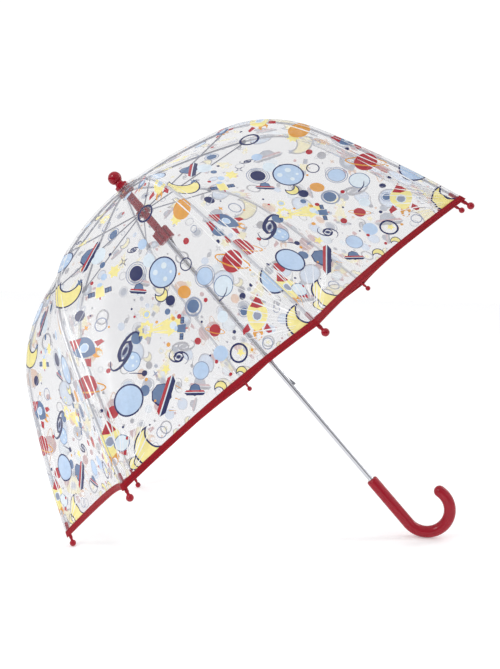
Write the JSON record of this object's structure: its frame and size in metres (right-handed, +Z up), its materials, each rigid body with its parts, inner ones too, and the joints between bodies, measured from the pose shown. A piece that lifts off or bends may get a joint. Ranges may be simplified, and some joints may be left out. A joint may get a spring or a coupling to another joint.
{
  "type": "dome umbrella",
  "caption": "Clear dome umbrella for a child: red J-handle, chromed shaft, slotted runner and crown, wire ribs and stretchers, ball tips and a film canopy with a red hem.",
  "frame": {"origin": "on the floor, under the centre of the box round the open umbrella lying on two rib tips and its hook", "axes": "+X along the floor from the dome to the handle, +Y across the dome, +Z up"},
  "size_m": [0.5738, 0.6672, 0.5504],
  "materials": {
    "chrome_tube": "polished",
    "red_plastic": "glossy moulded",
    "spring_steel": "satin",
    "steel_wire": "satin grey",
    "fibreglass": "satin",
    "clear_film": "clear, glossy, printed",
    "red_binding": "ribbed binding"
  },
  "bodies": {
    "root": {"shaft": "chrome_tube", "handle": "red_plastic", "ferrule": "red_plastic", "canopy_washer": "red_plastic", "crown": "red_plastic", "crown_wire": "spring_steel"},
    "runner": {"runner": "red_plastic", "runner_wire": "spring_steel"},
    "rib_inner_1": {"rib_inner_1": "steel_wire"},
    "rib_outer_1": {"rib_outer_1": "fibreglass", "rib_tip_1": "red_plastic", "canopy_1": "clear_film", "hem_1": "red_binding"},
    "stretcher_1": {"stretcher_1": "steel_wire"},
    "rib_inner_2": {"rib_inner_2": "steel_wire"},
    "rib_outer_2": {"rib_outer_2": "fibreglass", "rib_tip_2": "red_plastic", "canopy_2": "clear_film", "hem_2": "red_binding"},
    "stretcher_2": {"stretcher_2": "steel_wire"},
    "rib_inner_3": {"rib_inner_3": "steel_wire"},
    "rib_outer_3": {"rib_outer_3": "fibreglass", "rib_tip_3": "red_plastic", "canopy_3": "clear_film", "hem_3": "red_binding"},
    "stretcher_3": {"stretcher_3": "steel_wire"},
    "rib_inner_4": {"rib_inner_4": "steel_wire"},
    "rib_outer_4": {"rib_outer_4": "fibreglass", "rib_tip_4": "red_plastic", "canopy_4": "clear_film", "hem_4": "red_binding"},
    "stretcher_4": {"stretcher_4": "steel_wire"},
    "rib_inner_5": {"rib_inner_5": "steel_wire"},
    "rib_outer_5": {"rib_outer_5": "fibreglass", "rib_tip_5": "red_plastic", "canopy_5": "clear_film", "hem_5": "red_binding"},
    "stretcher_5": {"stretcher_5": "steel_wire"},
    "rib_inner_6": {"rib_inner_6": "steel_wire"},
    "rib_outer_6": {"rib_outer_6": "fibreglass", "rib_tip_6": "red_plastic", "canopy_6": "clear_film", "hem_6": "red_binding"},
    "stretcher_6": {"stretcher_6": "steel_wire"},
    "rib_inner_7": {"rib_inner_7": "steel_wire"},
    "rib_outer_7": {"rib_outer_7": "fibreglass", "rib_tip_7": "red_plastic", "canopy_7": "clear_film", "hem_7": "red_binding"},
    "stretcher_7": {"stretcher_7": "steel_wire"},
    "rib_inner_8": {"rib_inner_8": "steel_wire"},
    "rib_outer_8": {"rib_outer_8": "fibreglass", "rib_tip_8": "red_plastic", "canopy_8": "clear_film", "hem_8": "red_binding"},
    "stretcher_8": {"stretcher_8": "steel_wire"},
    "top_catch": {"top_catch": "spring_steel"},
    "bottom_catch": {"bottom_catch": "spring_steel"}
  },
  "joints": [
    {"name": "runner_slide", "type": "slide", "parent": "root", "child": "runner", "axis": [0.6682, 0, -0.744], "range_m": [0, 0.2897], "deforming": ["top_catch", "bottom_catch", "canopy_1", "hem_1", "canopy_2", "hem_2", "canopy_3", "hem_3", "canopy_4", "hem_4", "canopy_5", "hem_5", "canopy_6", "hem_6", "canopy_7", "hem_7", "canopy_8", "hem_8"]},
    {"name": "rib_1_hinge", "type": "hinge", "parent": "root", "child": "rib_inner_1", "pos_m": [-0.171, 0.00344, 0.47001], "axis": [-0.2847, 0.9239, -0.2557], "range_deg": [0, 56.28]},
    {"name": "rib_1_flex", "type": "hinge", "parent": "rib_inner_1", "child": "rib_outer_1", "pos_m": [-0.02307, 0.06774, 0.53758], "axis": [-0.2847, 0.9239, -0.2557], "range_deg": [-26.24, 0]},
    {"name": "stretcher_1_hinge", "type": "hinge", "parent": "runner", "child": "stretcher_1", "pos_m": [-0.1466, 0.00306, 0.44145], "axis": [-0.2847, 0.9239, -0.2557], "range_deg": [-75.19, 0]},
    {"name": "rib_2_hinge", "type": "hinge", "parent": "root", "child": "rib_inner_2", "pos_m": [-0.17463, 0.00831, 0.46676], "axis": [-0.6874, 0.3827, -0.6173], "range_deg": [0, 56.28]},
    {"name": "rib_2_flex", "type": "hinge", "parent": "rib_inner_2", "child": "rib_outer_2", "pos_m": [-0.09434, 0.16353, 0.47357], "axis": [-0.6874, 0.3827, -0.6173], "range_deg": [-26.24, 0]},
    {"name": "stretcher_2_hinge", "type": "hinge", "parent": "runner", "child": "stretcher_2", "pos_m": [-0.14982, 0.00739, 0.43856], "axis": [-0.6874, 0.3827, -0.6173], "range_deg": [-75.19, 0]},
    {"name": "rib_3_hinge", "type": "hinge", "parent": "root", "child": "rib_inner_3", "pos_m": [-0.17975, 0.00831, 0.46215], "axis": [-0.6874, -0.3827, -0.6173], "range_deg": [0, 56.28]},
    {"name": "rib_3_flex", "type": "hinge", "parent": "rib_inner_3", "child": "rib_outer_3", "pos_m": [-0.19513, 0.16353, 0.38306], "axis": [-0.6874, -0.3827, -0.6173], "range_deg": [-26.24, 0]},
    {"name": "stretcher_3_hinge", "type": "hinge", "parent": "runner", "child": "stretcher_3", "pos_m": [-0.15437, 0.00739, 0.43447], "axis": [-0.6874, -0.3827, -0.6173], "range_deg": [-75.19, 0]},
    {"name": "rib_4_hinge", "type": "hinge", "parent": "root", "child": "rib_inner_4", "pos_m": [-0.18338, 0.00344, 0.4589], "axis": [-0.2847, -0.9239, -0.2557], "range_deg": [0, 56.28]},
    {"name": "rib_4_flex", "type": "hinge", "parent": "rib_inner_4", "child": "rib_outer_4", "pos_m": [-0.2664, 0.06774, 0.31905], "axis": [-0.2847, -0.9239, -0.2557], "range_deg": [-26.24, 0]},
    {"name": "stretcher_4_hinge", "type": "hinge", "parent": "runner", "child": "stretcher_4", "pos_m": [-0.1576, 0.00306, 0.43158], "axis": [-0.2847, -0.9239, -0.2557], "range_deg": [-75.19, 0]},
    {"name": "rib_5_hinge", "type": "hinge", "parent": "root", "child": "rib_inner_5", "pos_m": [-0.18338, -0.00344, 0.4589], "axis": [0.2847, -0.9239, 0.2557], "range_deg": [0, 56.28]},
    {"name": "rib_5_flex", "type": "hinge", "parent": "rib_inner_5", "child": "rib_outer_5", "pos_m": [-0.2664, -0.06774, 0.31905], "axis": [0.2847, -0.9239, 0.2557], "range_deg": [-26.24, 0]},
    {"name": "stretcher_5_hinge", "type": "hinge", "parent": "runner", "child": "stretcher_5", "pos_m": [-0.1576, -0.00306, 0.43158], "axis": [0.2847, -0.9239, 0.2557], "range_deg": [-75.19, 0]},
    {"name": "rib_6_hinge", "type": "hinge", "parent": "root", "child": "rib_inner_6", "pos_m": [-0.17975, -0.00831, 0.46215], "axis": [0.6874, -0.3827, 0.6173], "range_deg": [0, 56.28]},
    {"name": "rib_6_flex", "type": "hinge", "parent": "rib_inner_6", "child": "rib_outer_6", "pos_m": [-0.19513, -0.16353, 0.38306], "axis": [0.6874, -0.3827, 0.6173], "range_deg": [-26.24, 0]},
    {"name": "stretcher_6_hinge", "type": "hinge", "parent": "runner", "child": "stretcher_6", "pos_m": [-0.15437, -0.00739, 0.43447], "axis": [0.6874, -0.3827, 0.6173], "range_deg": [-75.19, 0]},
    {"name": "rib_7_hinge", "type": "hinge", "parent": "root", "child": "rib_inner_7", "pos_m": [-0.17463, -0.00831, 0.46676], "axis": [0.6874, 0.3827, 0.6173], "range_deg": [0, 56.28]},
    {"name": "rib_7_flex", "type": "hinge", "parent": "rib_inner_7", "child": "rib_outer_7", "pos_m": [-0.09434, -0.16353, 0.47357], "axis": [0.6874, 0.3827, 0.6173], "range_deg": [-26.24, 0]},
    {"name": "stretcher_7_hinge", "type": "hinge", "parent": "runner", "child": "stretcher_7", "pos_m": [-0.14982, -0.00739, 0.43856], "axis": [0.6874, 0.3827, 0.6173], "range_deg": [-75.19, 0]},
    {"name": "rib_8_hinge", "type": "hinge", "parent": "root", "child": "rib_inner_8", "pos_m": [-0.171, -0.00344, 0.47001], "axis": [0.2847, 0.9239, 0.2557], "range_deg": [0, 56.28]},
    {"name": "rib_8_flex", "type": "hinge", "parent": "rib_inner_8", "child": "rib_outer_8", "pos_m": [-0.02307, -0.06774, 0.53758], "axis": [0.2847, 0.9239, 0.2557], "range_deg": [-26.24, 0]},
    {"name": "stretcher_8_hinge", "type": "hinge", "parent": "runner", "child": "stretcher_8", "pos_m": [-0.1466, -0.00306, 0.44145], "axis": [0.2847, 0.9239, 0.2557], "range_deg": [-75.19, 0]},
    {"name": "top_catch_press", "type": "hinge", "parent": "root", "child": "top_catch", "pos_m": [-0.1029, 0, 0.38218], "axis": [0, -1, 0], "range_deg": [0, 7], "stiffness_Nm_per_rad": 0.3},
    {"name": "bottom_catch_press", "type": "hinge", "parent": "root", "child": "bottom_catch", "pos_m": [0.04638, 0, 0.21597], "axis": [0, 1, 0], "range_deg": [0, 7], "stiffness_Nm_per_rad": 0.3}
  ],
  "couplings": [
    {"joint": "rib_1_hinge", "follows": "runner_slide", "rad_per_m": 3.3902},
    {"joint": "rib_1_flex", "follows": "runner_slide", "rad_per_m": -1.5803},
    {"joint": "stretcher_1_hinge", "follows": "runner_slide", "rad_per_m": -4.5293},
    {"joint": "rib_2_hinge", "follows": "runner_slide", "rad_per_m": 3.3902},
    {"joint": "rib_2_flex", "follows": "runner_slide", "rad_per_m": -1.5803},
    {"joint": "stretcher_2_hinge", "follows": "runner_slide", "rad_per_m": -4.5293},
    {"joint": "rib_3_hinge", "follows": "runner_slide", "rad_per_m": 3.3902},
    {"joint": "rib_3_flex", "follows": "runner_slide", "rad_per_m": -1.5803},
    {"joint": "stretcher_3_hinge", "follows": "runner_slide", "rad_per_m": -4.5293},
    {"joint": "rib_4_hinge", "follows": "runner_slide", "rad_per_m": 3.3902},
    {"joint": "rib_4_flex", "follows": "runner_slide", "rad_per_m": -1.5803},
    {"joint": "stretcher_4_hinge", "follows": "runner_slide", "rad_per_m": -4.5293},
    {"joint": "rib_5_hinge", "follows": "runner_slide", "rad_per_m": 3.3902},
    {"joint": "rib_5_flex", "follows": "runner_slide", "rad_per_m": -1.5803},
    {"joint": "stretcher_5_hinge", "follows": "runner_slide", "rad_per_m": -4.5293},
    {"joint": "rib_6_hinge", "follows": "runner_slide", "rad_per_m": 3.3902},
    {"joint": "rib_6_flex", "follows": "runner_slide", "rad_per_m": -1.5803},
    {"joint": "stretcher_6_hinge", "follows": "runner_slide", "rad_per_m": -4.5293},
    {"joint": "rib_7_hinge", "follows": "runner_slide", "rad_per_m": 3.3902},
    {"joint": "rib_7_flex", "follows": "runner_slide", "rad_per_m": -1.5803},
    {"joint": "stretcher_7_hinge", "follows": "runner_slide", "rad_per_m": -4.5293},
    {"joint": "rib_8_hinge", "follows": "runner_slide", "rad_per_m": 3.3902},
    {"joint": "rib_8_flex", "follows": "runner_slide", "rad_per_m": -1.5803},
    {"joint": "stretcher_8_hinge", "follows": "runner_slide", "rad_per_m": -4.5293}
  ]
}
